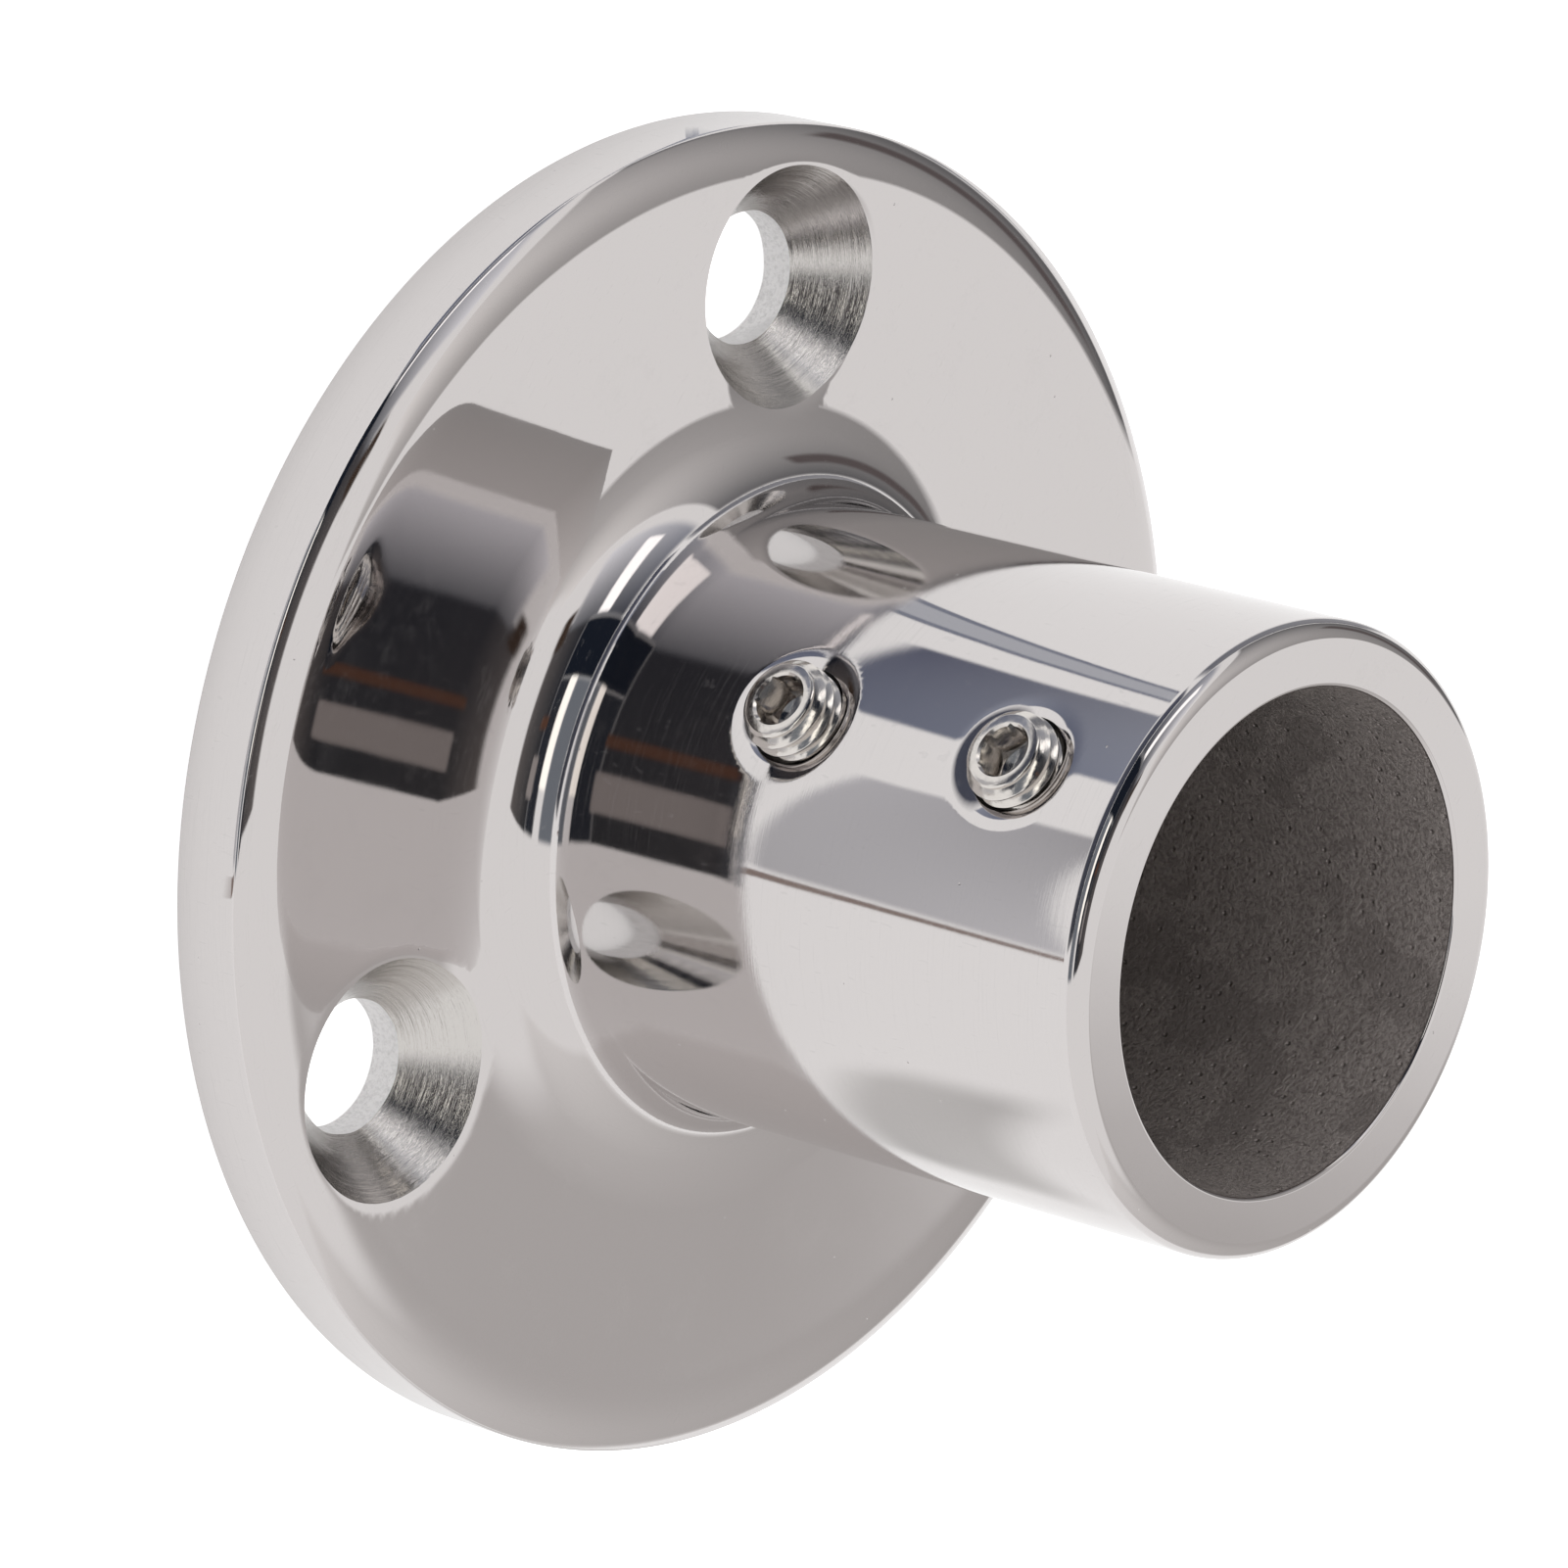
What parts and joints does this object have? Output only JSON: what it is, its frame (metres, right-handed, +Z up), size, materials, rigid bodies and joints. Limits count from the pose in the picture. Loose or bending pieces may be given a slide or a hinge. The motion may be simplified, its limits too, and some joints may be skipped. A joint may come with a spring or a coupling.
{
  "type": "stanchion base",
  "caption": "Polished stainless boat stanchion base: round flange with countersunk fastener holes, upright socket for a rail tube, clamped by hex-socket set screws.",
  "frame": {"origin": "centre of the flange's underside, on the deck", "axes": "+Z up from the deck along the tube socket; -Y towards the two set screws; +X to the right seen from the screws' side"},
  "size_m": [0.07, 0.07, 0.0425],
  "materials": {
    "polished_casting": "mirror-polished cast 316 stainless steel, as-cast in the bore",
    "screw_steel": "bright turned and threaded stainless steel"
  },
  "bodies": {
    "base": {"base_casting": "polished_casting"},
    "inner_screw": {"set_screw_inner": "screw_steel"},
    "outer_screw": {"set_screw_outer": "screw_steel"}
  },
  "joints": [
    {"name": "inner_screw_feed", "type": "slide", "parent": "base", "child": "inner_screw", "axis": [0, 1, 0], "range_m": [-0.002, 0.0015]},
    {"name": "outer_screw_feed", "type": "slide", "parent": "base", "child": "outer_screw", "axis": [0, 1, 0], "range_m": [-0.0024, 0.0011]}
  ]
}
